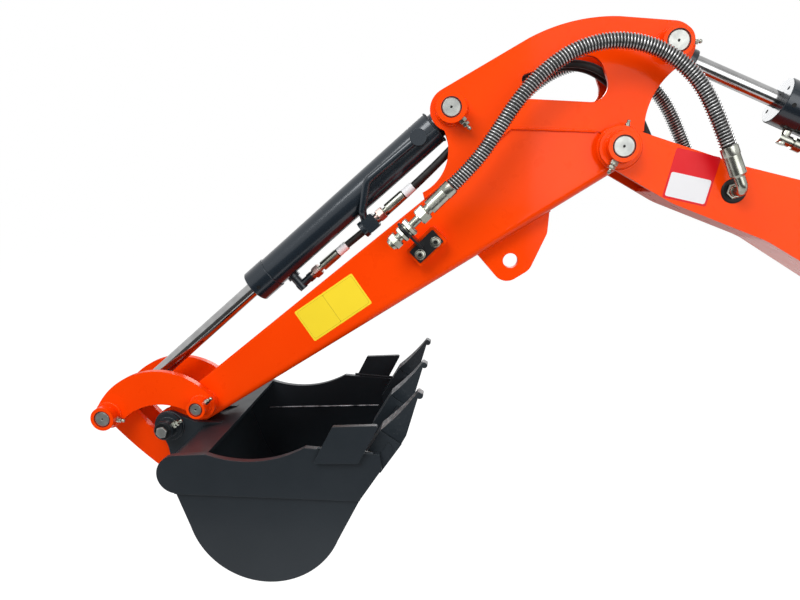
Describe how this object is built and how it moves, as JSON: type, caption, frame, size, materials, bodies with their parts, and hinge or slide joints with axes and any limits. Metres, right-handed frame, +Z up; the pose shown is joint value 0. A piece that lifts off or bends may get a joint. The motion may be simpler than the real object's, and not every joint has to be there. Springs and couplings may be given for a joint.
{
  "type": "mini excavator digging arm",
  "caption": "Front digging arm of a mini excavator: cranked boom, dipper with gooseneck, toothed bucket, rocker linkage and two hydraulic cylinders that move it.",
  "frame": {"origin": "centre of the bore at the boom's foot", "axes": "+X forwards from the boom's foot to the bucket, +Y to the arm's left, +Z up"},
  "size_m": [1.9858, 0.388, 1.272],
  "materials": {
    "orange_paint": "glossy orange paint",
    "dark_paint": "satin charcoal paint",
    "chrome_rod": "hard chrome",
    "pin_steel": "turned steel",
    "zinc_fitting": "zinc-plated steel",
    "worn_steel": "dark steel worn bright",
    "hose_rubber": "black rubber, in a zinc spring guard at the sides"
  },
  "bodies": {
    "boom": {"boom_side_left": "orange_paint", "boom_side_right": "orange_paint", "boom_top_plate": "orange_paint", "boom_bottom_plate": "orange_paint", "boom_foot_tube": "orange_paint", "boom_pins": "pin_steel", "arm_cylinder_bracket": "orange_paint", "boom_cylinder_bracket": "orange_paint", "boom_hose_elbows": "zinc_fitting"},
    "dipper": {"dipper_channel": "orange_paint", "dipper_cover": "orange_paint", "dipper_hubs": "orange_paint", "gooseneck_left": "orange_paint", "gooseneck_right": "orange_paint", "gooseneck_pins": "pin_steel", "lifting_lug": "orange_paint", "hose_pads": "orange_paint", "hose_brackets": "dark_paint", "hose_unions": "zinc_fitting", "auxiliary_hose_left": "hose_rubber", "auxiliary_hose_right": "hose_rubber", "boom_feed_hose_left": "hose_rubber", "boom_feed_hose_right": "hose_rubber", "bucket_feed_hose_upper": "hose_rubber", "bucket_feed_hose_lower": "hose_rubber", "hose_clamp": "dark_paint"},
    "bucket": {"bucket_shell": "dark_paint", "bucket_side_left": "dark_paint", "bucket_side_right": "dark_paint", "side_cutters": "dark_paint", "cutting_edge": "dark_paint", "tooth_adapters": "dark_paint", "bucket_teeth": "worn_steel", "bucket_ears": "dark_paint", "bucket_pins": "pin_steel"},
    "rocker": {"rocker_left": "orange_paint", "rocker_right": "orange_paint", "rocker_pins": "pin_steel"},
    "link": {"bucket_link": "orange_paint", "link_pins": "pin_steel"},
    "arm_barrel": {"arm_cylinder_barrel": "dark_paint", "arm_cylinder_gland": "dark_paint", "arm_port_adapters": "zinc_fitting"},
    "arm_rod": {"arm_cylinder_rod": "chrome_rod", "arm_cylinder_eye": "dark_paint", "arm_cylinder_eye_pin": "pin_steel"},
    "bucket_barrel": {"bucket_cylinder_barrel": "dark_paint", "bucket_cylinder_gland": "dark_paint", "bucket_hose_fittings": "zinc_fitting"},
    "bucket_rod": {"bucket_cylinder_rod": "chrome_rod", "bucket_cylinder_eye": "dark_paint", "bucket_cylinder_eye_pin": "pin_steel"}
  },
  "joints": [
    {"name": "dipper_pivot", "type": "hinge", "parent": "boom", "child": "dipper", "pos_m": [1.08437, 0, 1.03208], "axis": [0, 1, 0], "range_deg": [-32, 68], "deforming": ["auxiliary_hose_left", "auxiliary_hose_right", "boom_feed_hose_left", "boom_feed_hose_right"]},
    {"name": "arm_cylinder_swing", "type": "hinge", "parent": "boom", "child": "arm_barrel", "pos_m": [0.44527, 0, 0.93047], "axis": [0, 1, 0], "range_deg": [-8, 10]},
    {"name": "arm_cylinder_stroke", "type": "slide", "parent": "arm_barrel", "child": "arm_rod", "axis": [0.9167, 0, 0.3997], "range_m": [-0.1, 0.18]},
    {"name": "bucket_curl", "type": "hinge", "parent": "dipper", "child": "bucket", "pos_m": [1.80716, 0, 0.57162], "axis": [0, 1, 0], "range_deg": [-150, 0]},
    {"name": "rocker_swing", "type": "hinge", "parent": "dipper", "child": "rocker", "pos_m": [1.74682, 0, 0.61278], "axis": [0, 1, 0], "range_deg": [-95, 8]},
    {"name": "link_swing", "type": "hinge", "parent": "rocker", "child": "link", "pos_m": [1.90892, 0, 0.59144], "axis": [0, 1, 0], "range_deg": [-10, 20]},
    {"name": "bucket_cylinder_swing", "type": "hinge", "parent": "dipper", "child": "bucket_barrel", "pos_m": [1.33388, 0, 1.09059], "axis": [0, 1, 0], "range_deg": [-12, 6], "deforming": ["bucket_feed_hose_upper", "bucket_feed_hose_lower"]},
    {"name": "bucket_cylinder_stroke", "type": "slide", "parent": "bucket_barrel", "child": "bucket_rod", "axis": [0.7552, 0, -0.6555], "range_m": [-0.24, 0.02]}
  ],
  "couplings": [
    {"joint": "arm_cylinder_swing", "follows": "dipper_pivot", "ratio": 0.05},
    {"joint": "arm_cylinder_stroke", "follows": "dipper_pivot", "m_per_rad": 0.139},
    {"joint": "rocker_swing", "follows": "bucket_curl", "ratio": 0.5827},
    {"joint": "link_swing", "follows": "bucket_curl", "ratio": -0.0453},
    {"joint": "bucket_cylinder_swing", "follows": "bucket_curl", "ratio": 0.0353},
    {"joint": "bucket_cylinder_stroke", "follows": "bucket_curl", "m_per_rad": 0.0833}
  ]
}
